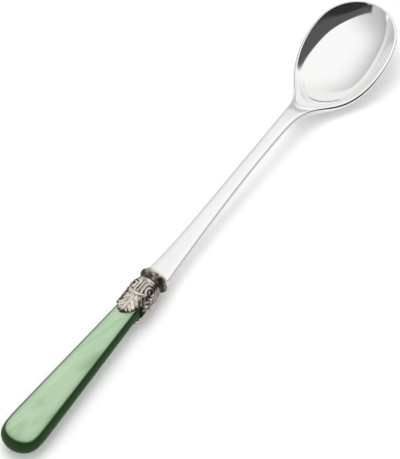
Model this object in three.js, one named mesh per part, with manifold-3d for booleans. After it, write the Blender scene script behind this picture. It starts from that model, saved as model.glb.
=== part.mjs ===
// Sorbet spoon: a pressed steel bowl and stem, a cast ornamental ferrule and a tapered acrylic handle.
// Millimetres. +X runs from the butt of the handle to the tip of the bowl, and +Z is up.
// The spoon lies at rest on two small flats, under the butt and under the belly of the bowl.
import * as THREE from "three";
import { mergeVertices } from "three/addons/utils/BufferGeometryUtils.js";
import Module from "manifold-3d";

const wasm = await Module();
wasm.setup();

// Handle: a tapered oval bar whose butt is rounded
const HANDLE_LENGTH = 63; // butt to the shoulder inside the ferrule
const BUTT_WIDTH = 14.1; // where the straight side lines would reach the butt's end
const BUTT_DEPTH = 9.9;
const WIDTH_TAPER = 0.107; // width lost for each mm of length
const DEPTH_TAPER = 0.054;
const BUTT_ROUND = 3.7; // length over which the end rounds off
const BUTT_LENGTH = 11; // stretch that the rounding reaches
const TABLE = 0; // level of the flats that the spoon rests on
const AXIS_HEIGHT = 4.5; // axis over the table at the butt
const AXIS_RISE = 0.012; // for each mm of length
const SPIGOT_LENGTH = 6.5; // thinner end inside the ferrule
const SPIGOT_STEP = 0.6; // shoulder round the spigot

// Tang, its bore in the handle and the fits between the pieces
const TANG_LENGTH = 46;
const TANG_ROOT_WIDTH = 3.6;
const TANG_END_WIDTH = 2.4;
const TANG_GAUGE = 1.6;
const BORE_WIDTH = 5.6;
const BORE_DEPTH = 3.6;
const BORE_PAST_TANG = 1.5; // room for resin past the tang's end
const FIT_GAP = 0.2; // between neighbouring pieces
const CEMENT_GAP = 0.15; // shrinkage of the resin from both walls

// Ferrule: ring, neck, scrolled body and leaves. Walls are over the handle's own taper.
const FERRULE_LENGTH = 18.7; // face of the ring to the tip of the front leaf
const LEAF_LAP = 7; // front leaf over the handle, from the handle's shoulder
const RING_LAND = 1.1; // plain top of the ring
const RING_FLANK = 1.4; // cone from the ring down to the neck
const RING_WALL = 1.75;
const RING_EDGE = 0.35; // rounding of the ring's front rim
const NECK_WALL = 0.45;
const NECK_LENGTH = 1;
const BODY_WALL = 1.1;
const BODY_LENGTH = 8.6;
const LEAF_WALL = 0.9;
const LEAF_EASE = 1; // softness of the step from the body to the leaves
const FRONT_LEAF = 6; // length of the leaf past the notch beside it
const FRONT_LEAF_SPREAD = 0.95; // half its angle round the axis, in radians
const LEAF_BLUNTNESS = 0.6; // power of the cosine at its end, rounder as it falls
const SIDE_LEAF = 1.6;

// Relief cast into the ferrule. Distances along it are from the ring's face.
const SCROLL_FROM_FACE = 7.4; // eye of the scroll on each shoulder of the front and back
const SCROLL_ANGLE = 0.8; // of its eye from the middle of the front, in radians
const SCROLL_TURNS = 3.5; // ridges from the eye to the middle of the front
const SCROLL_LENGTH = 4.6;
const SCROLL_PAST_EYE = 1.6;
const SCROLL_HEIGHT = 0.45;
const EYE_RADIUS = 0.7;
const EYE_DEPTH = 0.35;
const BAND_FROM_FACE = 10.6; // arched band between the scrolls and the leaf
const BAND_DROP = 1.9; // its fall toward the ring beside the eye
const BAND_SPAN = 3; // to each side of the middle of the front
const BAND_WIDTH = 2;
const BAND_HEIGHT = 0.5;
const BOSS_FROM_FACE = 9.8; // bead on each side
const BOSS_RADIUS = 1.5;
const BOSS_HEIGHT = 0.4;
const VEIN_WIDTH = 1.2;
const VEIN_HEIGHT = 0.25;
const FINGER_PITCH = 1.9; // ridges that branch from a leaf's vein
const FINGER_SLANT = 1; // mm along for each mm out from the vein
const FINGER_DEPTH = 0.4;
const FINGER_RUN = 1.5; // distance from the vein at which the grooves are full
const SCALLOP_DEPTH = 0.4; // notch in the margin at the end of a groove
const CARVE_EASE = 0.22; // softness where one form of the relief meets another

// Stem: flat strip, widest at the ferrule
const STEM_FOOT_WIDTH = 8.4;
const STEM_WAIST_WIDTH = 4.3;
const STEM_TAPER = 21; // length in which the extra width falls to about a third
const STEM_GAUGE = 2;
const STEM_EDGE = 0.45; // rounding of its edges

// Bowl: an egg-shaped dish with its broad end at the tip. Places are from the ferrule's face.
const BOWL_REACH = 128.9; // inner edge of the rim at the tip
const BOWL_WIDTH = 29.7; // inside the rim, before the tip rounds off
const BOWL_SHOULDER = 93.4; // where the shoulders are half open
const SHOULDER_EASE = 5.3;
const TIP_ROUND = 10.1; // length over which the tip rounds off
const BOWL_DEPTH = 8.45;
const HEEL_WALL = 99.3; // where the floor is half down
const HEEL_EASE = 4.2;
const TIP_WALL = 6.6; // length of the wall inside the tip
const FLOOR_CURVE = 0.72; // share of the depth that the even curve of the floor takes up
const WALL_TURN = 0.73; // share of the half width at which the floor turns up into the wall
const TURN_EASE = 0.06; // softness of that turn
const BOWL_GAUGE = 1.1;
const RIM_EDGE = 0.25; // rounding of the rim

// Side line of the strip: bends along it, from the ferrule's face, with their change of slope
const BENDS = {
  lift: { at: 12.6, turn: 0.076, ease: 4 },
  arch: { at: 48.3, turn: -0.056, ease: 6 },
  neck: { at: 76.5, turn: -0.444, ease: 2.5 },
  heel: { at: 94.4, turn: 0.891, ease: 2.5 },
  lip: { at: 123, turn: -0.517, ease: 8 },
};

// Stations along the strip: the stem's flat run is one long face
const FLAT_RUN_START = 24;
const FLAT_RUN_LENGTH = 14;

// Facets: strips across the steel, points round the ovals, and stations along each stretch
const ACROSS = 15;
const FERRULE_ROUND = 84;
const OVAL = 40;
const STATIONS = {
  butt: 10,
  bar: 10,
  tang: 4,
  foot: 6,
  stem: 8,
  heel: 16,
  dish: 22,
  leaves: 14,
  body: 24,
  rim: 3,
  bed: 12,
};
const BUTT_START = 0.1; // first station of the butt and last one of the dish, as shares of their stretch
const DISH_END = 0.97;

const FERRULE_FACE = HANDLE_LENGTH - LEAF_LAP + FERRULE_LENGTH;
const STEM_START = FERRULE_FACE + FIT_GAP;
const BOWL_TIP = FERRULE_FACE + BOWL_REACH;
const TANG_END = STEM_START - TANG_LENGTH;
const SPIGOT_END = HANDLE_LENGTH + SPIGOT_LENGTH;
const BORE_END = TANG_END - BORE_PAST_TANG;

// Shape helpers
const softStep = (x, at, ease) => 1 / (1 + Math.exp((at - x) / ease));
const softBend = (x, at, ease) => ease * Math.log1p(Math.exp((x - at) / ease));
const bump = (u) => (Math.abs(u) < 1 ? Math.cos((u * Math.PI) / 2) ** 2 : 0);
const spread = (from, to, count) =>
  Array.from({ length: count + 1 }, (_, i) => from + ((to - from) * i) / count);

// A closed skin over rings of points that follow one another along +X, with a cap at each end.
function loft(rings) {
  const count = rings[0].length;
  const points = rings.flat();
  const faces = [];
  for (let i = 0; i + 1 < rings.length; i++) {
    for (let j = 0; j < count; j++) {
      const a = i * count + j;
      const b = i * count + ((j + 1) % count);
      faces.push(a, a + count, b, b, a + count, b + count);
    }
  }
  const middle = (ring) =>
    ring.reduce((sum, p) => sum.add(p), new THREE.Vector3()).divideScalar(count);
  const first = points.push(middle(rings[0])) - 1;
  const last = points.push(middle(rings.at(-1))) - 1;
  const end = (rings.length - 1) * count;
  for (let j = 0; j < count; j++) {
    const next = (j + 1) % count;
    faces.push(first, j, next);
    faces.push(last, end + next, end + j);
  }
  return new THREE.BufferGeometry().setFromPoints(points).setIndex(faces);
}

// The boolean solid of a closed geometry, and the geometry of a boolean solid.
function solid(geometry) {
  const bare = geometry.clone();
  bare.deleteAttribute("normal");
  bare.deleteAttribute("uv");
  const merged = mergeVertices(bare);
  return new wasm.Manifold(
    new wasm.Mesh({
      numProp: 3,
      vertProperties: new Float32Array(merged.attributes.position.array),
      triVerts: new Uint32Array(merged.index.array),
    }),
  );
}

function geometryOf(manifold) {
  const { vertProperties, triVerts } = manifold.getMesh();
  return new THREE.BufferGeometry()
    .setAttribute("position", new THREE.BufferAttribute(vertProperties, 3))
    .setIndex(new THREE.BufferAttribute(triVerts, 1));
}

// The spoon's axis inside the handle and the ferrule, and an oval ring of points round it.
const axisAt = (x) => AXIS_HEIGHT + AXIS_RISE * x;

function ovalRing(x, halfWidth, halfDepth) {
  return spread(0, 2 * Math.PI, OVAL)
    .slice(0, OVAL)
    .map((turn) => {
      const height = axisAt(x) + halfDepth * Math.cos(turn);
      return new THREE.Vector3(x, halfWidth * Math.sin(turn), Math.max(height, TABLE));
    });
}

// Handle
const handleHalfWidth = (x) => (BUTT_WIDTH - WIDTH_TAPER * x) / 2;
const handleHalfDepth = (x) => (BUTT_DEPTH - DEPTH_TAPER * x) / 2;
const buttEase = (x) => Math.sqrt(Math.tanh(x / BUTT_ROUND));

function handleRing(x, grow) {
  const ease = buttEase(x);
  return ovalRing(x, handleHalfWidth(x) * ease + grow, handleHalfDepth(x) * ease + grow);
}

function spigotRings(gap) {
  return [HANDLE_LENGTH + gap, SPIGOT_END + gap].map((x) => handleRing(x, gap - SPIGOT_STEP));
}

// The oval bore, made smaller by a gap for what fills it.
function boreRings(gap, end) {
  return [BORE_END + gap, end].map((x) => ovalRing(x, BORE_WIDTH / 2 - gap, BORE_DEPTH / 2 - gap));
}

function handle() {
  const butt = spread(BUTT_START, 1, STATIONS.butt).map((u) => BUTT_LENGTH * u ** 2);
  const bar = spread(BUTT_LENGTH, HANDLE_LENGTH, STATIONS.bar).slice(1);
  const rings = [...butt, ...bar].map((x) => handleRing(x, 0));
  const outside = solid(loft([...rings, ...spigotRings(0)]));
  const bore = solid(loft(boreRings(0, SPIGOT_END + FIT_GAP)));
  return geometryOf(outside.subtract(bore));
}

// Steel strip
const stemHalfWidth = (x) =>
  STEM_WAIST_WIDTH / 2 - STEM_EDGE +
  ((STEM_FOOT_WIDTH - STEM_WAIST_WIDTH) / 2) * Math.exp((FERRULE_FACE - x) / STEM_TAPER);

function stripHalfWidth(x) {
  const open = softStep(x, FERRULE_FACE + BOWL_SHOULDER, SHOULDER_EASE);
  const stem = stemHalfWidth(x);
  const tip = Math.sqrt(Math.tanh(Math.max(BOWL_TIP - x, 0) / TIP_ROUND));
  return (stem + (BOWL_WIDTH / 2 - stem) * open) * tip;
}

function stripHeight(x) {
  const foot = axisAt(FERRULE_FACE) + STEM_GAUGE / 2;
  const straight = foot + AXIS_RISE * (x - FERRULE_FACE);
  return Object.values(BENDS).reduce(
    (height, { at, turn, ease }) => height + turn * softBend(x, FERRULE_FACE + at, ease),
    straight,
  );
}

const bowlShare = (x) => softStep(x, FERRULE_FACE + HEEL_WALL, HEEL_EASE);

const dishDepth = (x) =>
  BOWL_DEPTH * bowlShare(x) * Math.tanh(Math.max(BOWL_TIP - x, 0) / TIP_WALL);

// Share of the dish's depth at a place across it, from -1 to 1: an evenly curved floor inside a steeper wall.
function dishSection(across) {
  const out = Math.abs(across);
  const wall = softBend(out, WALL_TURN, TURN_EASE) / softBend(1, WALL_TURN, TURN_EASE);
  return 1 - FLOOR_CURVE * out ** 2 - (1 - FLOOR_CURVE) * wall;
}

// Upper face of the strip: the side line, pressed down into a dish.
function stripFace(x, across) {
  return new THREE.Vector3(
    x,
    across * stripHalfWidth(x),
    stripHeight(x) - dishDepth(x) * dishSection(across),
  );
}

function tangFace(x, across) {
  const share = (x - TANG_END) / TANG_LENGTH;
  const width = TANG_END_WIDTH + (TANG_ROOT_WIDTH - TANG_END_WIDTH) * share;
  return new THREE.Vector3(x, (across * width) / 2, axisAt(x) + TANG_GAUGE / 2);
}

// A ring round the strip at one station: its upper face, a rounded edge, its lower face and an edge.
function stripRing(face, x, gauge, edge) {
  const nudge = 0.01;
  const along = (across) => face(x + nudge, across).sub(face(x - nudge, across)).normalize();
  const normal = (across) => {
    const sideways = face(x, across + nudge).sub(face(x, across - nudge));
    return along(across).cross(sideways).normalize();
  };
  const row = spread(-1, 1, ACROSS);
  const upper = row.map((across) => face(x, across));
  const lower = row.map((across) => {
    const point = face(x, across).addScaledVector(normal(across), -gauge);
    return point.setZ(Math.max(point.z, TABLE));
  });
  const rim = (side, drop) => {
    const outward = normal(side).cross(along(side)).multiplyScalar(side * edge);
    return face(x, side).add(outward).addScaledVector(normal(side), -drop);
  };
  return [
    ...upper,
    rim(1, edge),
    rim(1, gauge - edge),
    ...lower.reverse(),
    rim(-1, gauge - edge),
    rim(-1, edge),
  ];
}

const tangRing = (x) => stripRing(tangFace, x, TANG_GAUGE, STEM_EDGE);

function steelSpoon() {
  const flatStart = FERRULE_FACE + FLAT_RUN_START;
  const flatEnd = flatStart + FLAT_RUN_LENGTH;
  const neck = FERRULE_FACE + BENDS.neck.at;
  const belly = FERRULE_FACE + HEEL_WALL;
  const stations = [
    ...spread(STEM_START, flatStart, STATIONS.foot),
    ...spread(flatEnd, neck, STATIONS.stem),
    ...spread(neck, belly, STATIONS.heel).slice(1),
    ...spread(0, DISH_END, STATIONS.dish)
      .slice(1)
      .map((u) => belly + (BOWL_TIP - belly) * Math.sin((u * Math.PI) / 2)),
  ];
  const blend = (x, stem, bowl) => stem + (bowl - stem) * bowlShare(x);
  const tang = spread(TANG_END, STEM_START, STATIONS.tang).map((x) => tangRing(x));
  const strip = stations.map((x) => {
    const gauge = blend(x, STEM_GAUGE, BOWL_GAUGE);
    return stripRing(stripFace, x, gauge, blend(x, STEM_EDGE, RIM_EDGE));
  });
  return loft([...tang, ...strip]);
}

// Ferrule
// Angle to the middle of the front or the back, whichever is nearer, and to the nearer side.
const fromFront = (turn) => Math.acos(Math.abs(Math.cos(turn)));
const fromSide = (turn) => Math.PI / 2 - fromFront(turn);

// Distance round the ferrule for each radian, at a distance from the ring's face.
function girthAt(d) {
  const x = FERRULE_FACE - d;
  return (handleHalfWidth(x) + handleHalfDepth(x)) / 2 + BODY_WALL;
}

// Grooves between a leaf's fingers, which slant from its vein to its margin: 0 on a finger, 1 in a groove.
function fingerGroove(along, out) {
  const phase = (along - FINGER_SLANT * out) / FINGER_PITCH;
  return ((1 - Math.cos(2 * Math.PI * phase)) / 2) * Math.min(1, out / FINGER_RUN);
}

// Distance from the ring's face to the leaves' margin: a broad leaf in front and behind, one at each side.
function leafEdge(turn) {
  const notch = FERRULE_LENGTH - FRONT_LEAF;
  const share = fromFront(turn) / FRONT_LEAF_SPREAD;
  const front = share < 1 ? Math.cos((share * Math.PI) / 2) ** LEAF_BLUNTNESS : 0;
  const side = bump(fromSide(turn) / (Math.PI / 2 - FRONT_LEAF_SPREAD));
  const edge = notch + FRONT_LEAF * front + SIDE_LEAF * side;
  const out = fromFront(turn) * girthAt(edge);
  return edge - SCALLOP_DEPTH * fingerGroove(edge - BAND_FROM_FACE, out);
}

// Wall over the handle's taper at a distance from the ring's face, before the relief.
function ferruleWall(d) {
  const neck = RING_LAND + RING_FLANK;
  if (d < RING_EDGE) {
    return RING_WALL - RING_EDGE + Math.sqrt(RING_EDGE ** 2 - (RING_EDGE - d) ** 2);
  }
  if (d < neck) {
    const down = Math.max(0, d - RING_LAND) / RING_FLANK;
    return RING_WALL + (NECK_WALL - RING_WALL) * down;
  }
  const rise = softStep(d, neck + NECK_LENGTH, CARVE_EASE);
  const fall = softStep(d, neck + NECK_LENGTH + BODY_LENGTH, LEAF_EASE);
  return NECK_WALL + (BODY_WALL - NECK_WALL) * rise + (LEAF_WALL - BODY_WALL) * fall;
}

// A leaf's vein and fingers. along is from its foot, and out is from its vein.
function leafRelief(along, out) {
  return VEIN_HEIGHT * bump((2 * out) / VEIN_WIDTH) - FINGER_DEPTH * fingerGroove(along, out);
}

// Ridges that run straight along the middle of the front and wind into a scroll round an eye.
function scrollRelief(d, arc, eyeArc) {
  const inward = eyeArc - arc;
  const opening = 1 - Math.min(1, Math.max(0, inward / eyeArc)) ** 2;
  const ahead = (d - SCROLL_FROM_FACE) * opening;
  const reach = Math.hypot(inward, ahead);
  const winding = Math.atan2(ahead, inward) / (2 * Math.PI);
  const turns = (SCROLL_TURNS * (eyeArc - reach)) / eyeArc + winding;
  const ridge = (1 + Math.cos(2 * Math.PI * turns)) / 2;
  const ends = softStep(SCROLL_LENGTH / 2, Math.abs(d - SCROLL_FROM_FACE), CARVE_EASE);
  const side = softStep(SCROLL_PAST_EYE, -inward, CARVE_EASE);
  return SCROLL_HEIGHT * ridge * ends * side - EYE_DEPTH * bump(reach / EYE_RADIUS);
}

// Height of the cast relief: scrolls, an arched band, a side bead and leaves.
function relief(d, turn) {
  const girth = girthAt(d);
  const arc = fromFront(turn) * girth;
  const side = fromSide(turn) * girth;
  const eyeArc = SCROLL_ANGLE * girth;
  const band = BAND_FROM_FACE - BAND_DROP * Math.min(1, arc / eyeArc) ** 2;
  const ribbon = BAND_HEIGHT * bump((2 * (d - band)) / BAND_WIDTH) * softStep(BAND_SPAN, arc, CARVE_EASE);
  const boss = BOSS_HEIGHT * bump(Math.hypot(d - BOSS_FROM_FACE, side) / BOSS_RADIUS);
  const raised = Math.max(ribbon, boss, scrollRelief(d, arc, eyeArc));
  const leafy = softStep(d, band + BAND_WIDTH / 2, CARVE_EASE);
  const sideways = softStep(fromFront(turn), FRONT_LEAF_SPREAD, CARVE_EASE / girth);
  const front = leafRelief(d - BAND_FROM_FACE, arc);
  const flank = leafRelief(d - BOSS_FROM_FACE, side);
  return raised + (front + (flank - front) * sideways) * leafy;
}

function ferrulePoint(d, turn, share) {
  const x = FERRULE_FACE - d;
  const carved = d > RING_LAND + RING_FLANK ? relief(d, turn) : 0;
  const wall = ferruleWall(d) + carved;
  return new THREE.Vector3(
    x,
    (handleHalfWidth(x) + wall) * share * Math.sin(turn),
    axisAt(x) + (handleHalfDepth(x) + wall) * share * Math.cos(turn),
  );
}

function ferrule() {
  const turns = spread(0, 2 * Math.PI, FERRULE_ROUND).slice(0, FERRULE_ROUND);
  const ring = (distance, share = 1) =>
    turns.map((turn) => ferrulePoint(distance(turn), turn, share));
  const bodyEnd = FERRULE_LENGTH - FRONT_LEAF - BAND_WIDTH;
  const neck = RING_LAND + RING_FLANK;
  const leaves = spread(1, 0, STATIONS.leaves).map((u) =>
    ring((turn) => bodyEnd + (leafEdge(turn) - bodyEnd) * u),
  );
  const body = [...spread(bodyEnd, neck, STATIONS.body).slice(1), RING_LAND].map((d) => ring(() => d));
  const rim = spread(0, 1, STATIONS.rim).map((u) => RING_EDGE * (1 - Math.sin((u * Math.PI) / 2)));
  const collar = rim.map((d) => ring(() => d));
  const inner = ring(leafEdge, 0.5);
  const outside = solid(loft([inner, ...leaves, ...body, ...collar]));
  const bedStart = FERRULE_FACE - FERRULE_LENGTH - LEAF_LAP;
  const bed = spread(bedStart, HANDLE_LENGTH + FIT_GAP, STATIONS.bed).map((x) => handleRing(x, FIT_GAP));
  const socket = solid(loft([...bed, ...spigotRings(FIT_GAP)]));
  const slot = new THREE.BoxGeometry(
    2 * (FERRULE_FACE - SPIGOT_END),
    TANG_ROOT_WIDTH + 2 * (STEM_EDGE + FIT_GAP),
    TANG_GAUGE + 2 * FIT_GAP,
  );
  slot.translate(FERRULE_FACE, 0, axisAt(FERRULE_FACE));
  return geometryOf(outside.subtract(socket).subtract(solid(slot)));
}

// Resin that fills the bore round the tang
function tangCement() {
  const plug = solid(loft(boreRings(CEMENT_GAP, SPIGOT_END)));
  const room = [TANG_END - CEMENT_GAP, SPIGOT_END + FIT_GAP].map((x) => {
    const ring = tangRing(x);
    const middle = new THREE.Vector3(x, 0, axisAt(x));
    return ring.map((p) => p.sub(middle).multiplyScalar(1 + (2 * CEMENT_GAP) / TANG_GAUGE).add(middle));
  });
  return geometryOf(plug.subtract(solid(loft(room))));
}

// Assembly
function piece(name, geometry, color, roughness, metalness) {
  const material = new THREE.MeshStandardMaterial({ color, roughness, metalness });
  const mesh = new THREE.Mesh(geometry, material);
  mesh.name = name;
  return mesh;
}

const group = new THREE.Group();
group.add(
  piece("steel_spoon", steelSpoon(), 0xd4d4d6, 0.08, 1),
  piece("ferrule", ferrule(), 0x8f887c, 0.35, 1),
  piece("handle", handle(), 0xa8c9a0, 0.15, 0),
  piece("tang_cement", tangCement(), 0xd9cfae, 0.6, 0),
);

// The origin is under the middle of the spoon, on the table.
const box = new THREE.Box3().setFromObject(group);
const centre = box.getCenter(new THREE.Vector3());
group.children.forEach((mesh) => mesh.position.set(-centre.x, -centre.y, -box.min.z));

export default group;
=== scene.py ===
"""Sorbet spoon: a polished steel bowl and stem, a cast scroll ferrule and a pearl acrylic handle."""

import math

import bmesh
import bpy
import numpy as np
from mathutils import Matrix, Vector


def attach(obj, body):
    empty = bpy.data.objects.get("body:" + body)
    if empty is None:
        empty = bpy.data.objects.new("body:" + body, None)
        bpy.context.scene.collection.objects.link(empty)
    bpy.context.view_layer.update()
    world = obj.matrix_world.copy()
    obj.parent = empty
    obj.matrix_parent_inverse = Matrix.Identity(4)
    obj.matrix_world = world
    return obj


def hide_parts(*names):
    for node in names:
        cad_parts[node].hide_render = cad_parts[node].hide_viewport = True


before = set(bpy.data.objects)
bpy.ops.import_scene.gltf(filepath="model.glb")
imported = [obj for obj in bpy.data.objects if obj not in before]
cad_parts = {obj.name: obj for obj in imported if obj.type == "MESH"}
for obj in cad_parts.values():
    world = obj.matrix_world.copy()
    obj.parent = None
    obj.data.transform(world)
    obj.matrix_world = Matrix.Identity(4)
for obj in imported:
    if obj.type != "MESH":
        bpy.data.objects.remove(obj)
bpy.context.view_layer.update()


# Steel bowl, stem and tang: one strip of stainless steel, stamped and pressed into an egg-shaped dish with
# its broad end at the tip, then polished bright. The lower parts of the stem's edges carry a painted shade.
# Its tang is cemented into the handle.
MM = 0.001  # sizes are in mm from the butt's end and the table, meshes in metres from the row's origin
ROW_ORIGIN = np.array([102.316, 0.0, 0.0])
FERRULE_FACE, FIT_GAP = 74.7, 0.2
STEM_START = FERRULE_FACE + FIT_GAP
TANG_LENGTH, TANG_ROOT_WIDTH, TANG_END_WIDTH, TANG_GAUGE = 46.0, 3.6, 2.4, 1.6
AXIS_HEIGHT, AXIS_RISE, TABLE = 4.5, 0.012, 0.0
STEM_FOOT_WIDTH, STEM_WAIST_WIDTH, STEM_TAPER = 8.4, 4.3, 21.0
STEM_GAUGE, STEM_EDGE, RIM_EDGE = 2.0, 0.45, 0.25
BOWL_TIP, BOWL_WIDTH, BOWL_DEPTH, BOWL_GAUGE = FERRULE_FACE + 128.9, 29.7, 8.45, 1.1
BOWL_SHOULDER, SHOULDER_EASE, TIP_ROUND = FERRULE_FACE + 93.4, 5.3, 10.1
HEEL_WALL, HEEL_EASE, TIP_WALL = FERRULE_FACE + 99.3, 4.2, 6.6
FLOOR_CURVE, WALL_TURN, TURN_EASE = 0.72, 0.73, 0.06  # section across: even floor, then a turn up to the rim
HEEL_LINES = ((83.2, 0.19), (89.3, 0.13))  # two lines pressed across the heel: place on the middle line, bow
HEEL_LINE_HEIGHT, HEEL_LINE_WIDTH, HEEL_LINES_END, HEEL_LINES_FADE = 0.4, 4.0, 96.0, 1.0
STEM_CROWN, CROWN_END, CROWN_EASE = 0.22, 85.0, 3.0  # fall of the upper face to its edges, lost at the heel
EDGE_SHADE_LEAN, EDGE_SHADE_SPAN = 0.28, 0.45  # upward part of the normal where the stem's edges get painted shade, and its span
BENDS = {  # place from the ferrule's face, change of slope and softness
    "lift": (12.6, 0.076, 4.0),
    "arch": (48.3, -0.056, 6.0),
    "neck": (76.5, -0.444, 2.5),
    "heel": (94.4, 0.891, 2.5),
    "lip": (123.0, -0.517, 8.0),
}
NECK_FROM, HEEL_FROM = FERRULE_FACE + 66, FERRULE_FACE + 80  # stations lie closer from the neck on
ACROSS_COUNT, ACROSS_CROWDING, EDGE_STEPS = 121, 0.86, 14  # points across crowd to the edges, as a sine does
LEAST_TO_TIP, SLOPE_TO_TIP = 1e-7, 1e-3  # least distances to the tip, where the slopes have no end
MERGE_DISTANCE, SLIVER = 1e-6, 1e-8  # in metres
STEEL_TONES = [(0.3, (0.885, 0.885, 0.88)), (0.7, (0.915, 0.915, 0.91))]
# Colour of the painted shade on the stem's lower edges.
EDGE_SHADE_STEEL = (0.46, 0.46, 0.455, 1.0)


def soft_step(x, at, ease):
    """Logistic step: 1 over 1 plus e to the power of (at - x) / ease."""
    return 1 / (1 + np.exp((at - x) / ease))


def hump(share):
    """Squared cosine hump that is 1 at 0 and 0 past 1."""
    return np.where(np.abs(share) < 1, np.cos(np.clip(share, -1, 1) * math.pi / 2) ** 2, 0)


def axis_at(x):
    """Height of the handle's axis: a straight line."""
    return AXIS_HEIGHT + AXIS_RISE * x


def side_line(x):
    """Height of the strip's upper edge: a straight line plus a soft bend at each fold.

    A soft bend is its turn times its ease times log(1 + e^((x - at) / ease)).
    """
    height = axis_at(x) + STEM_GAUGE / 2
    for at, turn, ease in BENDS.values():
        height = height + turn * ease * np.logaddexp(0, (x - FERRULE_FACE - at) / ease)
    return height


def open_width(x):
    """Half width before the tip rounds off: the stem's exponential taper, opened by a logistic step."""
    stem = STEM_WAIST_WIDTH / 2 - STEM_EDGE
    stem = stem + (STEM_FOOT_WIDTH - STEM_WAIST_WIDTH) / 2 * np.exp((FERRULE_FACE - x) / STEM_TAPER)
    return stem + (BOWL_WIDTH / 2 - stem) * soft_step(x, BOWL_SHOULDER, SHOULDER_EASE)


def dish(x):
    """Depth of the dish on the middle line: a logistic heel times the tanh of the distance to the tip."""
    return BOWL_DEPTH * soft_step(x, HEEL_WALL, HEEL_EASE) * np.tanh((BOWL_TIP - x) / TIP_WALL)


def slope(curve, x):
    """Central difference of a curve: its change over a small step each way, over both steps."""
    step = 1e-4
    return (curve(x + step) - curve(x - step)) / (2 * step)


def strip_face(x, across):
    """Points and normals of the strip's upper face over a grid of stations and shares across.

    Height is the side line less the dish times its section, plus the heel's lines. The section is 1 less the
    floor's curve times the share across squared, less the rest times a soft bend at the wall's turn,
    ease * log(1 + e^((share - turn) / ease)), scaled to 1 at the rim. A heel line is a hump along an arc.
    Half width is the open width times the root of tanh(distance to the tip / tip round).
    """
    x, across = np.meshgrid(x, across, indexing="ij")
    left = np.maximum(BOWL_TIP - x, LEAST_TO_TIP)
    inside = np.minimum(x, BOWL_TIP - SLOPE_TO_TIP)
    tip = np.tanh(left / TIP_ROUND)
    half = open_width(x) * np.sqrt(tip)
    share, out = np.abs(across), across * half
    steep = (1 - FLOOR_CURVE) / (TURN_EASE * np.logaddexp(0, (1 - WALL_TURN) / TURN_EASE))
    wall = steep * TURN_EASE * np.logaddexp(0, (share - WALL_TURN) / TURN_EASE)
    fall = 1 - FLOOR_CURVE * share**2 - wall
    fall_slope = -np.sign(across) * (2 * FLOOR_CURVE * share + steep * soft_step(share, WALL_TURN, TURN_EASE))
    bowed = [(x - FERRULE_FACE - at - bow * out**2) * 2 / HEEL_LINE_WIDTH for at, bow in HEEL_LINES]
    lines = HEEL_LINE_HEIGHT * sum(hump(place) for place in bowed) * (1 - share**4)
    lines = lines * soft_step(FERRULE_FACE + HEEL_LINES_END, x, HEEL_LINES_FADE)
    points = np.stack([x, out, side_line(x) - dish(x) * fall + lines], -1)
    widening = slope(open_width, inside) / open_width(inside) - (1 - tip**2) / (2 * TIP_ROUND * tip)
    along = slope(side_line, x) - slope(dish, inside) * fall + dish(x) * fall_slope * across * widening
    sideways = -dish(x) * fall_slope / half
    normals = np.stack([-along, -sideways, np.ones_like(x)], -1)
    return points, normals / np.linalg.norm(normals, axis=-1, keepdims=True)


def strip_rings(points, normals, gauge, edge, crown):
    """Rings round the strip at each station: upper face, far edge, lower face reversed and near edge.

    The lower face is the upper one less gauge times the normal, but no lower than the table.
    The upper face then falls by the crown times the share across to the fourth power.
    An edge is half an ellipse, as deep as the edge and as high as the strip is there.
    The way out is the cross product of the normal and the edge line's tangent.
    """
    gauge, edge, crown = gauge[:, None, None], edge[:, None, None], crown[:, None, None]
    share = points[..., 1:2] / points[:, -1:, 1:2]
    lower = points - gauge * normals
    lower[..., 2] = np.maximum(lower[..., 2], TABLE)
    upper = points - crown * share**4 * normals
    tangent = np.gradient(np.concatenate([points[:, -1], points[-2::-1, 0]]), axis=0)[: len(points)]
    outward = np.cross(normals[:, -1], tangent)
    outward = (outward / np.linalg.norm(outward, axis=-1, keepdims=True))[:, None]
    turn = np.linspace(0, math.pi, EDGE_STEPS + 1)[1:-1, None]
    down = (gauge - crown) * (1 - np.cos(turn)) / 2
    far = upper[:, -1:] + edge * np.sin(turn) * outward - down * normals[:, -1:]
    near = far[:, ::-1] * np.array([1, -1, 1])
    return np.concatenate([upper, far, lower[:, ::-1], near], 1)


def skin(name, rings, ends="capped"):
    """A mesh over an array of rings in mm: quads between neighbours, in metres in the row.

    Ends are capped by one face each, or joined to each other as on a torus. Points that coincide are merged.
    """
    count, around = rings.shape[:2]
    rows = count if ends == "joined" else count - 1
    ring, place = np.meshgrid(np.arange(rows), np.arange(around), indexing="ij")
    after, beside = (ring + 1) % count, (place + 1) % around
    quads = np.stack(
        [ring * around + place, after * around + place, after * around + beside, ring * around + beside], -1
    )
    faces = quads.reshape(-1, 4).tolist()
    if ends == "capped":
        faces.append(list(range(around)))
        faces.append(list(range(count * around - 1, (count - 1) * around - 1, -1)))
    mesh = bpy.data.meshes.new(name)
    mesh.from_pydata(((rings.reshape(-1, 3) - ROW_ORIGIN) * MM).tolist(), [], faces)
    welded = bmesh.new()
    welded.from_mesh(mesh)
    bmesh.ops.remove_doubles(welded, verts=welded.verts, dist=MERGE_DISTANCE)
    bmesh.ops.dissolve_degenerate(welded, edges=welded.edges, dist=SLIVER)
    welded.to_mesh(mesh)
    welded.free()
    mesh.shade_smooth()
    piece = bpy.data.objects.new(name, mesh)
    bpy.context.scene.collection.objects.link(piece)
    return piece


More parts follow.
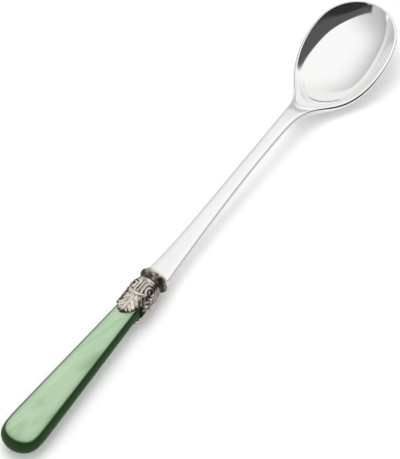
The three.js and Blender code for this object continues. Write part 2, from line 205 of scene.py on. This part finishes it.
crowding = math.pi / 2 * ACROSS_CROWDING
across = np.sin(np.linspace(-1, 1, ACROSS_COUNT) * crowding) / math.sin(crowding)
stations = np.concatenate(
    [
        np.linspace(STEM_START, NECK_FROM, 50)[:-1],
        np.linspace(NECK_FROM, HEEL_FROM, 50)[:-1],
        np.linspace(HEEL_FROM, HEEL_WALL, 145)[:-1],
        HEEL_WALL + (BOWL_TIP - HEEL_WALL) * np.sin(np.linspace(0, 1, 110) * math.pi / 2),
    ]
)
bowl_share = soft_step(stations, HEEL_WALL, HEEL_EASE)
strip = strip_rings(
    *strip_face(stations, across),
    STEM_GAUGE + (BOWL_GAUGE - STEM_GAUGE) * bowl_share,
    STEM_EDGE + (RIM_EDGE - STEM_EDGE) * bowl_share,
    STEM_CROWN * soft_step(FERRULE_FACE + CROWN_END, stations, CROWN_EASE),
)
tang_x = np.linspace(STEM_START - TANG_LENGTH, STEM_START, 5)
tang_grid, tang_across = np.meshgrid(tang_x, across, indexing="ij")
tang_width = TANG_END_WIDTH + (TANG_ROOT_WIDTH - TANG_END_WIDTH) * (tang_grid - tang_x[0]) / TANG_LENGTH
tang_face = np.stack([tang_grid, tang_across * tang_width / 2, axis_at(tang_grid) + TANG_GAUGE / 2], -1)
tang_up = np.broadcast_to(np.array([-AXIS_RISE, 0.0, 1.0]), tang_face.shape)
tang_sizes = np.full_like(tang_x, TANG_GAUGE), np.full_like(tang_x, STEM_EDGE), np.zeros_like(tang_x)
tang = strip_rings(tang_face, tang_up, *tang_sizes)
steel = skin("bowl_and_stem", np.concatenate([tang, strip]))

# Painted shade: the stem's edges darken where the upward part of their normal is near the lean, as far as the
# heel.
point, normal = np.zeros((2, len(steel.data.vertices) * 3), np.float32)
steel.data.vertices.foreach_get("co", point)
steel.data.vertices.foreach_get("normal", normal)
from_face = point[::3] / MM + ROW_ORIGIN[0] - FERRULE_FACE
edge_shade = hump((normal[2::3] - EDGE_SHADE_LEAN) / EDGE_SHADE_SPAN) * soft_step(CROWN_END, from_face, CROWN_EASE)
edge_shade_layer = steel.data.attributes.new("painted_edge_shade", "FLOAT", "POINT")
edge_shade_layer.data.foreach_set("value", edge_shade.astype(np.float32))


def new_finish(name):
    """A material, its main shader, and functions that add a node and join a socket to the shader."""
    material = bpy.data.materials.new(name)
    material.use_nodes = True
    tree = material.node_tree
    shader = tree.nodes["Principled BSDF"]

    def add(kind, links=(), **settings):
        """A new node: settings go to its sockets or properties, and links come from other nodes."""
        node = tree.nodes.new(kind)
        for key, value in settings.items():
            if key in node.inputs:
                node.inputs[key].default_value = value
            else:
                setattr(node, key, value)
        for socket, source in dict(links).items():
            tree.links.new(source, node.inputs[socket])
        return node

    def join(source, socket):
        """Feeds one of the main shader's sockets."""
        tree.links.new(source, shader.inputs[socket])

    return material, shader, add, join


def ramp(node, stops):
    """Sets a colour ramp's stops from pairs of place and colour."""
    elements = node.color_ramp.elements
    while len(elements) < len(stops):
        elements.new(0.5)
    for element, (place, colour) in zip(elements, stops):
        element.position = place
        element.color = (*colour, 1.0)
    return node.outputs["Color"]


def remap(add, source, inputs, outputs, **settings):
    """Carries a value from one pair of limits to another, in a straight line or as the settings say."""
    limits = zip(("From Min", "From Max", "To Min", "To Max"), (*inputs, *outputs))
    return add("ShaderNodeMapRange", {"Value": source}, **dict(limits), **settings).outputs["Result"]


steel_polish, shader, add, join = new_finish("polished_stainless")
shader.inputs["Metallic"].default_value = 1.0
place = add("ShaderNodeTexCoord").outputs["Object"]
along_grain = add("ShaderNodeMapping", {"Vector": place}, Scale=(40.0, 900.0, 900.0)).outputs["Vector"]
buffing = add("ShaderNodeTexNoise", {"Vector": along_grain}, Scale=1.0, Detail=3.0, Roughness=0.6)
cloud = add("ShaderNodeTexNoise", {"Vector": place}, Scale=55.0, Detail=4.0, Roughness=0.55)
tone = add("ShaderNodeValToRGB", {"Fac": cloud.outputs[0]})
bright = ramp(tone, STEEL_TONES)
# Painted shade on the stem's edges, read from the mesh attribute.
edge_shaded = add("ShaderNodeAttribute", attribute_name="painted_edge_shade").outputs["Fac"]
body = add("ShaderNodeMix", {"Factor": edge_shaded, 6: bright}, data_type="RGBA")
body.inputs[7].default_value = EDGE_SHADE_STEEL
join(body.outputs[2], "Base Color")
join(remap(add, buffing.outputs[0], (0.3, 0.7), (0.045, 0.09)), "Roughness")
grain = add("ShaderNodeBump", {"Height": buffing.outputs[0]}, Strength=0.02, Distance=0.0001)
join(grain.outputs["Normal"], "Normal")
steel.data.materials.append(steel_polish)
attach(steel, "root")
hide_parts("steel_spoon")


# Ferrule: a collar of cast white metal, nickel plated and antiqued with a dark patina in its hollows.
# Its shoulders, sides, leaf margins and ring carry painted shade.
# A broad acanthus leaf laps over the handle in front and behind, with a band, scrolls and a ring ahead of it.
# It is glued over the handle's spigot.
HANDLE_LENGTH, SPIGOT_END, SPIGOT_STEP = 63.0, 69.5, 0.6
BUTT_WIDTH, BUTT_DEPTH, WIDTH_TAPER, DEPTH_TAPER = 14.1, 9.9, 0.107, 0.054
FERRULE_LENGTH, RING_LAND, RING_FLANK, RING_WALL, RING_EDGE = 18.7, 1.1, 1.4, 1.75, 0.35
NECK_WALL, NECK_LENGTH, BODY_WALL, BODY_LENGTH, LEAF_WALL, LEAF_EASE = 0.45, 1.0, 1.1, 8.6, 0.9, 1.0
FRONT_LEAF, FRONT_LEAF_SPREAD, LEAF_BLUNTNESS, SIDE_LEAF, LEAF_LIP = 6.0, 0.95, 0.6, 1.6, 0.4
SCROLL_FROM_FACE, SCROLL_ANGLE, SCROLL_TURNS, SCROLL_LENGTH = 7.4, 0.8, 3.5, 4.6
SCROLL_PAST_EYE, SCROLL_HEIGHT, EYE_RADIUS, EYE_DEPTH = 1.6, 0.45, 0.7, 0.35
BAND_FROM_FACE, BAND_DROP, BAND_SPAN, BAND_WIDTH, BAND_HEIGHT = 10.6, 1.9, 3.0, 2.0, 0.5
BOSS_FROM_FACE, BOSS_RADIUS, BOSS_HEIGHT = 9.8, 1.5, 0.4
VEIN_WIDTH, VEIN_HEIGHT, FINGER_PITCH, FINGER_SLANT, FINGER_DEPTH = 1.2, 0.25, 1.9, 1.0, 0.4
FINGER_RUN, SCALLOP_DEPTH, CARVE_EASE = 1.5, 0.4, 0.22
FINE_FINGERS, FINE_SHIFT = 0.3, 1.2  # share and phase of the finer wave
DRILL_INSET, DRILL_RADIUS, DRILL_DEPTH = 0.9, 0.55, 0.2  # eyes drilled at the ends of the grooves
LOBE_INSET, LOBE_RADIUS, LOBE_HEIGHT = 1.0, 0.9, 0.2  # swelling at the end of each finger
STAIN_EVEN, STAIN_RANGE, BLUR_ROWS, BLUR_COLUMNS = 0.42, 0.42, 8, 9  # patina by height over a blurred relief
# Places of painted shade: the shoulders and sides, and off the top of the ring's flank.
SHOULDER_ANGLE, SHOULDER_SPAN, SIDE_ANGLE, SIDE_EASE = 0.8, 0.4, 1.1, 0.1
TOP_ANGLE, TOP_EASE = 0.5, 0.12
LEAF_STAIN_FROM, LEAF_STAIN_EASE, MARGIN_REACH = BAND_FROM_FACE + 0.5, 0.3, 1.6
RING_STRIPE, STRIPE_EASE, RING_FRONT, FRONT_EASE = 0.8, 0.08, 0.2, 0.05  # painted shade on the flank begins past a bright stripe on the ring's land; painted shade on its front edge
FOOT_SHARE, FOOT_EASE = 0.4, 0.06  # foot of the ring's flank, where its painted shade deepens
PATINA_AND_SHADE = {  # strength at each place: patina in the hollows and on the leaf, the ring's own tone, painted shade elsewhere
    "hollow": 0.58,
    "leaf": -0.08,
    "shoulder": 0.45,
    "side": 0.25,
    "margin": 0.3,
    "lip": 0.8,
    "ring": 0.1,
    "flank": 0.25,
    "flank_side": 0.25,
    "foot": 0.15,
    "front": 0.35,
}
SPECKLE_SHARE, PATINA_AND_SHADE_LIFT = 1.2, -0.3  # the speckle's weight beside the patina and painted shade, and what centres their sum
# Tones from bright nickel to dark, by patina and painted shade.
NICKEL_TONES = [
    (0.42, (0.82, 0.76, 0.68)),
    (0.66, (0.47, 0.425, 0.37)),
    (0.86, (0.18, 0.157, 0.134)),
    (1.0, (0.05, 0.043, 0.037)),
]


def handle_half(x):
    """Half width and half depth of the handle's oval: straight tapers."""
    return (BUTT_WIDTH - WIDTH_TAPER * x) / 2, (BUTT_DEPTH - DEPTH_TAPER * x) / 2


def from_front(turn):
    """Angle to the middle of the front or the back, whichever is nearer: arc cosine of the cosine's size."""
    return np.arccos(np.abs(np.cos(turn)))


def girth_at(d):
    """Distance round the ferrule for each radian: the mean of the handle's half sizes plus the wall."""
    return sum(handle_half(FERRULE_FACE - d)) / 2 + BODY_WALL


def finger_groove(along, out):
    """Grooves between a leaf's fingers: half of (1 - cos) of the distance along less the distance out.

    Out is counted from the vein. A finer wave, twice as close, breaks each finger in two.
    """
    phase = 2 * math.pi * (along - FINGER_SLANT * out) / FINGER_PITCH
    main, fine = (1 - np.cos(phase)) / 2, (1 - np.cos(2 * phase + FINE_SHIFT)) / 2
    return (main + (fine - main) * FINE_FINGERS) * np.minimum(1, out / FINGER_RUN)


def leaf_margin(turn):
    """Distance from the ring's face to the leaves' margin: blunt cosines and side humps, less scallops."""
    front = from_front(turn)
    leaf = np.cos(np.minimum(front / FRONT_LEAF_SPREAD, 1) * math.pi / 2).clip(0) ** LEAF_BLUNTNESS
    side = hump((math.pi / 2 - front) / (math.pi / 2 - FRONT_LEAF_SPREAD))
    edge = FERRULE_LENGTH - FRONT_LEAF + FRONT_LEAF * leaf + SIDE_LEAF * side
    return edge - SCALLOP_DEPTH * finger_groove(edge - BAND_FROM_FACE, front * girth_at(edge))


def plain_wall(d):
    """Wall over the handle before the relief: a ring with a conical flank, a neck, a body and leaves.

    The ring's front edge is a quarter circle, the flank a straight line, and soft steps join the others.
    """
    neck = RING_LAND + RING_FLANK
    rim = RING_WALL - RING_EDGE + np.sqrt(np.maximum(RING_EDGE**2 - np.maximum(RING_EDGE - d, 0) ** 2, 0))
    flank = RING_WALL + (NECK_WALL - RING_WALL) * np.clip((d - RING_LAND) / RING_FLANK, 0, 1)
    rise = (BODY_WALL - NECK_WALL) * soft_step(d, neck + NECK_LENGTH, CARVE_EASE)
    fall = (LEAF_WALL - BODY_WALL) * soft_step(d, neck + NECK_LENGTH + BODY_LENGTH, LEAF_EASE)
    return np.where(d < RING_EDGE, rim, np.where(d < neck, flank, NECK_WALL + rise + fall))


def leaf_relief(along, out):
    """A leaf's vein, less the grooves between its fingers."""
    return VEIN_HEIGHT * hump(2 * out / VEIN_WIDTH) - FINGER_DEPTH * finger_groove(along, out)


def scroll_relief(d, arc, eye_arc):
    """Ridges that run straight along the middle of the front and wind round an eye.

    Their height is half of (1 + cos) of the turns: the distance from the eye over their pitch, plus the
    angle round it.
    """
    inward = eye_arc - arc
    ahead = (d - SCROLL_FROM_FACE) * (1 - np.clip(inward / eye_arc, 0, 1) ** 2)
    reach = np.hypot(inward, ahead)
    turns = SCROLL_TURNS * (eye_arc - reach) / eye_arc + np.arctan2(ahead, inward) / (2 * math.pi)
    ridge = (1 + np.cos(2 * math.pi * turns)) / 2
    ends = soft_step(SCROLL_LENGTH / 2, np.abs(d - SCROLL_FROM_FACE), CARVE_EASE)
    side = soft_step(SCROLL_PAST_EYE, -inward, CARVE_EASE)
    return SCROLL_HEIGHT * ridge * ends * side - EYE_DEPTH * hump(reach / EYE_RADIUS)


def relief(d, turn, margin):
    """Height of the carving: the highest of the scrolls, an arched band and the side beads, plus the leaves.

    A leaf has a hump at each finger's end and a drilled eye at each groove's end, both humps by the margin.
    """
    girth, front = girth_at(d), from_front(turn)
    arc, side, eye_arc = front * girth, (math.pi / 2 - front) * girth, SCROLL_ANGLE * girth
    band = BAND_FROM_FACE - BAND_DROP * np.minimum(1, arc / eye_arc) ** 2
    ribbon = BAND_HEIGHT * hump(2 * (d - band) / BAND_WIDTH) * soft_step(BAND_SPAN, arc, CARVE_EASE)
    bead = BOSS_HEIGHT * hump(np.hypot(d - BOSS_FROM_FACE, side) / BOSS_RADIUS)
    raised = np.maximum(np.maximum(ribbon, bead), scroll_relief(d, arc, eye_arc))
    leafy = soft_step(d, band + BAND_WIDTH / 2, CARVE_EASE)
    sideways = soft_step(front, FRONT_LEAF_SPREAD, CARVE_EASE / girth)
    leaf = leaf_relief(d - BAND_FROM_FACE, arc)
    groove = finger_groove(d - BAND_FROM_FACE, arc)
    lobe = LOBE_HEIGHT * (1 - groove) * hump((margin - d - LOBE_INSET) / LOBE_RADIUS)
    leaf = leaf + lobe - DRILL_DEPTH * groove**4 * hump((margin - d - DRILL_INSET) / DRILL_RADIUS)
    leaf = leaf + (leaf_relief(d - BOSS_FROM_FACE, side) - leaf) * sideways
    return np.where(d > RING_LAND + RING_FLANK, raised + leaf * leafy, 0)


def oval_rings(x, half_width, half_depth, turn):
    """Points on ovals round the handle's axis: half width times sine, half depth times cosine of the turn.

    The turn is counted from the top, and no point lies lower than the table.
    """
    height = np.maximum(axis_at(x) + half_depth * np.cos(turn), TABLE)
    return np.stack([x, half_width * np.sin(turn), height], -1)


turn = np.linspace(0, 2 * math.pi, 440, endpoint=False)
margin = leaf_margin(turn)
body_end = FERRULE_LENGTH - FRONT_LEAF - BAND_WIDTH
body_rows = np.repeat(np.linspace(0, body_end, 110)[:-1, None], len(turn), 1)
d = np.concatenate([body_rows, body_end + (margin - body_end) * np.linspace(0, 1, 90)[:, None]])
x = FERRULE_FACE - d
half_width, half_depth = handle_half(x)
height = relief(d, turn, margin)
lip = np.clip((margin - d) / LEAF_LIP, 0, 1)
wall = FIT_GAP + (plain_wall(d) + height - FIT_GAP) * np.sqrt(1 - (1 - lip) ** 2)
collar_rings = [oval_rings(x, half_width + wall, half_depth + wall, turn)]
bed_end = HANDLE_LENGTH + FIT_GAP
socket = [
    ((FERRULE_FACE - margin + bed_end) / 2, FIT_GAP),
    (np.full_like(turn, bed_end), FIT_GAP),
    (np.full_like(turn, bed_end), FIT_GAP - SPIGOT_STEP),
    (np.full_like(turn, SPIGOT_END + FIT_GAP), FIT_GAP - SPIGOT_STEP),
]
for x, room in socket:
    half_width, half_depth = handle_half(x)
    collar_rings.append(oval_rings(x, half_width + room, half_depth + room, turn)[None])
slot_half = TANG_ROOT_WIDTH / 2 + STEM_EDGE + FIT_GAP, TANG_GAUGE / 2 + FIT_GAP
for x in (SPIGOT_END + FIT_GAP, FERRULE_FACE):
    collar_rings.append(oval_rings(np.full_like(turn, x), *slot_half, turn)[None])
collar_rings = np.concatenate(collar_rings)
collar = skin("scroll_ferrule", collar_rings[:, ::-1], ends="joined")  # reversed, so that faces turn out

# Patina is dark in the hollows, which lie below the blurred relief. Painted shade darkens the shoulders,
# sides and margin, the ring's flank, foot and front edge, and the leaf's thin lip.
padded = np.pad(height, ((BLUR_ROWS, BLUR_ROWS), (0, 0)), mode="edge")
smooth = np.mean([padded[k : k + len(height)] for k in range(2 * BLUR_ROWS + 1)], 0)
smooth = np.mean([np.roll(smooth, k, 1) for k in range(-BLUR_COLUMNS, BLUR_COLUMNS + 1)], 0)
hollow = np.clip(STAIN_EVEN - (height - smooth) / STAIN_RANGE, 0, 1)
on_leaf = soft_step(d, LEAF_STAIN_FROM, LEAF_STAIN_EASE)
shoulder_shade_mask = hump((from_front(turn) - SHOULDER_ANGLE) / SHOULDER_SPAN)
side_shade_mask = soft_step(from_front(turn), SIDE_ANGLE, SIDE_EASE)
margin_shade_mask = 1 - np.clip((margin - d) / MARGIN_REACH, 0, 1)
patina_and_shade = hollow * (PATINA_AND_SHADE["hollow"] + PATINA_AND_SHADE["leaf"] * on_leaf) + PATINA_AND_SHADE["shoulder"] * shoulder_shade_mask
patina_and_shade = patina_and_shade + PATINA_AND_SHADE["side"] * side_shade_mask + PATINA_AND_SHADE["margin"] * margin_shade_mask
# Painted shade on the ring: its flank, more so off the top, its foot and its front edge.
flank_shade_mask = soft_step(d, RING_STRIPE, STRIPE_EASE)
foot_shade_mask = soft_step(np.clip((d - RING_LAND) / RING_FLANK, 0, 1), FOOT_SHARE, FOOT_EASE)
off_top = soft_step(from_front(turn), TOP_ANGLE, TOP_EASE)
front_edge_shade_mask = soft_step(RING_FRONT, d, FRONT_EASE)
ring_tone_and_shade = PATINA_AND_SHADE["ring"] + (PATINA_AND_SHADE["flank"] + PATINA_AND_SHADE["flank_side"] * off_top) * flank_shade_mask
ring_tone_and_shade = ring_tone_and_shade + PATINA_AND_SHADE["foot"] * foot_shade_mask + PATINA_AND_SHADE["front"] * front_edge_shade_mask
patina_and_shade = np.where(d < RING_LAND + RING_FLANK + NECK_LENGTH, ring_tone_and_shade, patina_and_shade)
# Painted shadow along the leaf's thin lip.
patina_and_shade = np.maximum(patina_and_shade, PATINA_AND_SHADE["lip"] * (1 - lip))
# Faces inside the bore are painted fully dark as shade.
patina_and_shade = np.concatenate([patina_and_shade, np.ones((len(collar_rings) - len(d), len(turn)))])[:, ::-1]
patina_and_shade_layer = collar.data.attributes.new("patina_with_painted_shade", "FLOAT", "POINT")
patina_and_shade_layer.data.foreach_set("value", (patina_and_shade + PATINA_AND_SHADE_LIFT).astype(np.float32).ravel())

nickel, shader, add, join = new_finish("antiqued_nickel")
shader.inputs["Metallic"].default_value = 1.0
place = add("ShaderNodeTexCoord").outputs["Object"]
# Patina and painted shade, from the mesh attribute.
patina_and_shade_value = add("ShaderNodeAttribute", attribute_name="patina_with_painted_shade").outputs["Fac"]
speckle = add("ShaderNodeTexNoise", {"Vector": place}, Scale=750.0, Detail=4.0, Roughness=0.55)
mottle = add("ShaderNodeMath", {0: speckle.outputs[0], 2: patina_and_shade_value}, operation="MULTIPLY_ADD")
mottle.inputs[1].default_value = SPECKLE_SHARE
tone = add("ShaderNodeValToRGB", {"Fac": mottle.outputs[0]})
join(ramp(tone, NICKEL_TONES), "Base Color")
join(remap(add, mottle.outputs[0], (0.0, 1.0), (0.2, 0.5)), "Roughness")
cast_skin = add("ShaderNodeBump", {"Height": speckle.outputs[0]}, Strength=0.15, Distance=0.0001)
join(cast_skin.outputs["Normal"], "Normal")
collar.data.materials.append(nickel)
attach(collar, "root")
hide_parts("ferrule")


# Handle: a tapered oval bar cut from pearl acrylic sheet, buffed to a high gloss and glued into the ferrule.
# The broad faces are pale pearl, and the narrow edges and the butt, where the surface turns sideways, carry a
# deep green painted shade.
BUTT_LENGTH, BUTT_ROUND = 11.0, 3.7
BORE_WIDTH, BORE_DEPTH, BORE_PAST_TANG = 5.6, 3.6, 1.5
SHADE_AXIS_TILT = 0.052  # tilt from level of the axis that the painted side shade is measured against
SWIRL_TURN, SWIRL_SIZE = -0.21, (0.02, 0.0045, 0.008)  # radians from the handle's length, metres
PEARL_TONES = [(0.3, (0.33, 0.47, 0.30)), (0.48, (0.42, 0.575, 0.39)), (0.7, (0.47, 0.62, 0.44))]
# Deep green of the painted side shade.
SIDE_SHADE_GREEN = (0.018, 0.05, 0.013, 1.0)
SIDE_SHADE_SHARE = [(0.08, (0, 0, 0)), (0.205, (0.18, 0.18, 0.18)), (0.295, (1, 1, 1))]  # share of the painted shade as the surface turns sideways
butt = BUTT_LENGTH * np.linspace(0, 1, 60) ** 2
handle_x = np.concatenate([butt, np.linspace(BUTT_LENGTH, HANDLE_LENGTH, 90)[1:]])
turn = np.linspace(0, 2 * math.pi, 160, endpoint=False)
bar_x, bar_turn = np.meshgrid(handle_x, turn, indexing="ij")
half_width, half_depth = handle_half(bar_x)
ease = np.sqrt(np.tanh(bar_x / BUTT_ROUND))
bar = [oval_rings(bar_x, half_width * ease, half_depth * ease, bar_turn)]
for spigot_x in (HANDLE_LENGTH, SPIGOT_END):
    spigot_half = [half - SPIGOT_STEP for half in handle_half(spigot_x)]
    bar.append(oval_rings(np.full_like(turn, spigot_x), *spigot_half, turn)[None])
for bore_x in (SPIGOT_END, STEM_START - TANG_LENGTH - BORE_PAST_TANG):
    bar.append(oval_rings(np.full_like(turn, bore_x), BORE_WIDTH / 2, BORE_DEPTH / 2, turn)[None])
bar = np.concatenate(bar)
grip = skin("pearl_handle", bar)

# Painted side shade: 1 less the normal's part along the tilted shade axis.
normal = np.zeros(len(grip.data.vertices) * 3, np.float32)
grip.data.vertices.foreach_get("normal", normal)
shade_axis = np.array([0.0, -math.sin(SHADE_AXIS_TILT), math.cos(SHADE_AXIS_TILT)])
painted_side_shade = 1 - np.abs(normal.reshape(-1, 3) @ shade_axis)
side_shade_layer = grip.data.attributes.new("painted_side_shade", "FLOAT", "POINT")
side_shade_layer.data.foreach_set("value", painted_side_shade.astype(np.float32))

pearl, shader, add, join = new_finish("pearl_acrylic")
shader.inputs["Metallic"].default_value = 0.0
shader.inputs["IOR"].default_value = 1.49
shader.inputs["Specular IOR Level"].default_value = 0.08
shader.inputs["Roughness"].default_value = 0.12
place = add("ShaderNodeTexCoord").outputs["Object"]
slant = add("ShaderNodeMapping", {"Vector": place}, vector_type="TEXTURE", Scale=SWIRL_SIZE)
slant.inputs["Rotation"].default_value = (0.0, 0.0, SWIRL_TURN)
slant = slant.outputs["Vector"]
swirl = add("ShaderNodeTexNoise", {"Vector": slant}, Scale=1.0, Detail=3.0, Roughness=0.5, Distortion=0.8)
tone = add("ShaderNodeValToRGB", {"Fac": swirl.outputs[0]})
pale = ramp(tone, PEARL_TONES)
# Painted deep green shade where the surface turns sideways.
side_shade_value = add("ShaderNodeAttribute", attribute_name="painted_side_shade").outputs["Fac"]
side = add("ShaderNodeValToRGB", {"Fac": side_shade_value})
body = add("ShaderNodeMix", {"Factor": ramp(side, SIDE_SHADE_SHARE), 6: pale}, data_type="RGBA")
body.inputs[7].default_value = SIDE_SHADE_GREEN
join(body.outputs[2], "Base Color")
grip.data.materials.append(pearl)
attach(grip, "root")
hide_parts("handle")


# Resin: cream epoxy, poured into the bore round the tang, where it sets and holds the handle on.
# It is sealed inside and doesn't show, so the CAD solid stays and only gets its material.
RESIN_TONES = [(0.3, (0.62, 0.55, 0.36)), (0.7, (0.72, 0.65, 0.45))]
resin, shader, add, join = new_finish("cast_resin")
place = add("ShaderNodeTexCoord").outputs["Object"]
haze = add("ShaderNodeTexNoise", {"Vector": place}, Scale=300.0, Detail=3.0)
tone = add("ShaderNodeValToRGB", {"Fac": haze.outputs[0]})
join(ramp(tone, RESIN_TONES), "Base Color")
shader.inputs["Roughness"].default_value = 0.55
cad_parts["tang_cement"].data.materials.clear()
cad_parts["tang_cement"].data.materials.append(resin)


# Studio: a pale table under even soft light and one softbox overhead. Polished metal mirrors a white light
# tent whose front is open to a dark room. The table glows a little to the camera, more so far away.
TABLE_REACH, TABLE_WHITE = 3.0, (0.97, 0.97, 0.97, 1.0)
GLOW_PLACES, GLOW = (0.12, 0.6), (0.08, 0.25)  # distances in metres from the middle, and the glow there
SOFT_LIGHT, SOFTBOX_SIZE, SOFTBOX_POWER, SOFTBOX_PLACE = 0.8, 0.5, 2.2, (0.03, 0.18, 0.8)
TENT_LIGHT, BACK_SHADE, BACK_FALL, LOW_SHADE = 1.05, 0.57, 3.2, 0.5  # tent cloth, darker behind and low down
BACK_AZIMUTH, BACK_EDGE, LOW_EDGE = 112, (-0.6, 0.8), (0.15, 0.42)
LID_HEIGHT, LID_RISES = 0.355, ((-133, 0.75), (-35, 0.04))  # the opening's upper edge, with rises by azimuth
LEFT_POST, RIGHT_POST, RIGHT_TILT = -126, -65.7, (0.522, 0.853)  # its sides, the right one leaning
EDGE_BLUR, POST_BLUR, ROOM_BLUR = 0.015, 0.02, 0.05
ROOM_LIGHT, ROOM_DEPTH = 0.1, 0.07  # the dark room, and how much darker it is low down
ROOM_TOP, ROOM_RISE_AZIMUTH, ROOM_RISE = 0.2, -170, 0.2  # upper edge of its darker part
corners = [(-TABLE_REACH, -TABLE_REACH, 0), (TABLE_REACH, -TABLE_REACH, 0)]
corners += [(TABLE_REACH, TABLE_REACH, 0), (-TABLE_REACH, TABLE_REACH, 0)]
floor_mesh = bpy.data.meshes.new("floor")
floor_mesh.from_pydata(corners, [], [(0, 1, 2, 3)])
floor = bpy.data.objects.new("floor", floor_mesh)
bpy.context.scene.collection.objects.link(floor)
table_white, shader, add, join = new_finish("table_white")
shader.inputs["Roughness"].default_value = 1.0
shader.inputs["Specular IOR Level"].default_value = 0.0
shader.inputs["Base Color"].default_value = TABLE_WHITE
shader.inputs["Emission Color"].default_value = (1.0, 1.0, 1.0, 1.0)
away = add("ShaderNodeVectorMath", {0: add("ShaderNodeTexCoord").outputs["Object"]}, operation="LENGTH")
glow = remap(add, away.outputs["Value"], GLOW_PLACES, GLOW, interpolation_type="SMOOTHSTEP")
seen = add("ShaderNodeLightPath").outputs["Is Camera Ray"]
seen_glow = add("ShaderNodeMath", {0: glow, 1: seen}, operation="MULTIPLY")
join(seen_glow.outputs[0], "Emission Strength")
floor.data.materials.append(table_white)

world = bpy.data.worlds.new("light_tent")
world.use_nodes = True
bpy.context.scene.world = world
tree = world.node_tree
tree.nodes.clear()


def sky(kind, *sources, **settings):
    """Adds a world node whose first inputs are numbers or other nodes' outputs."""
    node = tree.nodes.new(kind)
    for key, value in settings.items():
        setattr(node, key, value)
    for socket, source in zip(node.inputs, sources):
        if isinstance(source, bpy.types.NodeSocket):
            tree.links.new(source, socket)
        else:
            socket.default_value = source
    return node.outputs[0]


def work(operation, *sources):
    """A sum, product or other step on numbers."""
    return sky("ShaderNodeMath", *sources, operation=operation)


def fade(value, low, high):
    """A smooth step from 0 at low to 1 at high."""
    return sky("ShaderNodeMapRange", value, low, high, 0.0, 1.0, interpolation_type="SMOOTHSTEP")


def blend(first, second, share):
    """The first value times 1 less the share, plus the second times the share."""
    return work("ADD", work("MULTIPLY", first, work("SUBTRACT", 1.0, share)), work("MULTIPLY", second, share))


ray = tree.nodes.new("ShaderNodeTexCoord").outputs["Generated"]
split = tree.nodes.new("ShaderNodeSeparateXYZ")
tree.links.new(ray, split.inputs[0])
ray_x, ray_y, ray_z = split.outputs


def toward(azimuth):
    """Share of the ray that points along a compass direction, in degrees from +X."""
    angle = math.radians(azimuth)
    return work("ADD", work("MULTIPLY", ray_x, math.cos(angle)), work("MULTIPLY", ray_y, math.sin(angle)))


level = work("SQRT", work("SUBTRACT", 1.0, work("MULTIPLY", ray_z, ray_z)))
behind = fade(work("DIVIDE", toward(BACK_AZIMUTH), work("ADD", level, 0.001)), *BACK_EDGE)
back_shade = work("MULTIPLY", work("MULTIPLY", work("POWER", level, BACK_FALL), behind), BACK_SHADE)
low_shade = work("MULTIPLY", work("SUBTRACT", 1.0, fade(ray_z, *LOW_EDGE)), LOW_SHADE)
tent = work("SUBTRACT", TENT_LIGHT, work("MAXIMUM", back_shade, low_shade))
lid = LID_HEIGHT
for rise_azimuth, rise in LID_RISES:
    swell = work("POWER", work("MAXIMUM", 0.0, toward(rise_azimuth)), 3.0)
    lid = work("ADD", lid, work("MULTIPLY", swell, rise))
under_lid = fade(work("SUBTRACT", lid, ray_z), -EDGE_BLUR, EDGE_BLUR)
left_post = fade(toward(LEFT_POST), -POST_BLUR, POST_BLUR)
sideways, upward = RIGHT_TILT
leaning = work("ADD", work("MULTIPLY", toward(RIGHT_POST), sideways), work("MULTIPLY", ray_z, upward))
right_post = fade(leaning, -EDGE_BLUR, EDGE_BLUR)
opening = work("MULTIPLY", under_lid, work("MULTIPLY", left_post, right_post))
room_top = work("ADD", ROOM_TOP, work("MULTIPLY", toward(ROOM_RISE_AZIMUTH), ROOM_RISE))
low_in_room = fade(work("SUBTRACT", room_top, ray_z), -ROOM_BLUR, ROOM_BLUR)
room = work("SUBTRACT", ROOM_LIGHT, work("MULTIPLY", low_in_room, ROOM_DEPTH))
mirrored = blend(tent, room, opening)
path = tree.nodes.new("ShaderNodeLightPath")
glossy = work("MAXIMUM", path.outputs["Is Glossy Ray"], path.outputs["Is Transmission Ray"])
strength = work("MAXIMUM", blend(SOFT_LIGHT, mirrored, glossy), path.outputs["Is Camera Ray"])
background = tree.nodes.new("ShaderNodeBackground")
background.inputs["Color"].default_value = (1.0, 1.0, 1.0, 1.0)
tree.links.new(strength, background.inputs["Strength"])
tree.links.new(background.outputs[0], tree.nodes.new("ShaderNodeOutputWorld").inputs["Surface"])

key_data = bpy.data.lights.new("overhead_softbox", "AREA")
key_data.shape = "RECTANGLE"
key_data.size, key_data.size_y = SOFTBOX_SIZE, SOFTBOX_SIZE
key_data.energy = SOFTBOX_POWER
key = bpy.data.objects.new("overhead_softbox", key_data)
key.location = Vector(SOFTBOX_PLACE)
key.rotation_mode = "QUATERNION"
key.rotation_quaternion = key.location.to_track_quat("Z", "Y")
key.visible_glossy = False
key.visible_camera = False
bpy.context.scene.collection.objects.link(key)

azimuth, elevation, distance = math.radians(-56.46), math.radians(50), 0.8
aim_up, aim_right = 0.000787, -0.001708  # from the row's origin, in the picture's plane
right = Vector((math.cos(azimuth), math.sin(azimuth), 0))
level_back = Vector((math.sin(azimuth), -math.cos(azimuth), 0))
back = level_back * math.cos(elevation) + Vector((0, 0, math.sin(elevation)))
aim = back.cross(right) * aim_up + right * aim_right
camera_data = bpy.data.cameras.new("camera")
camera_data.sensor_width = 36
camera_data.lens = 201.22
camera_data.clip_start, camera_data.clip_end = 0.01, 20
camera = bpy.data.objects.new("camera", camera_data)
camera.rotation_mode = "QUATERNION"
camera.location = aim + back * distance
camera.rotation_quaternion = back.to_track_quat("Z", "Y")
bpy.context.scene.collection.objects.link(camera)
bpy.context.scene.camera = camera
bpy.context.scene.view_settings.view_transform = "Standard"

bpy.context.view_layer.update()
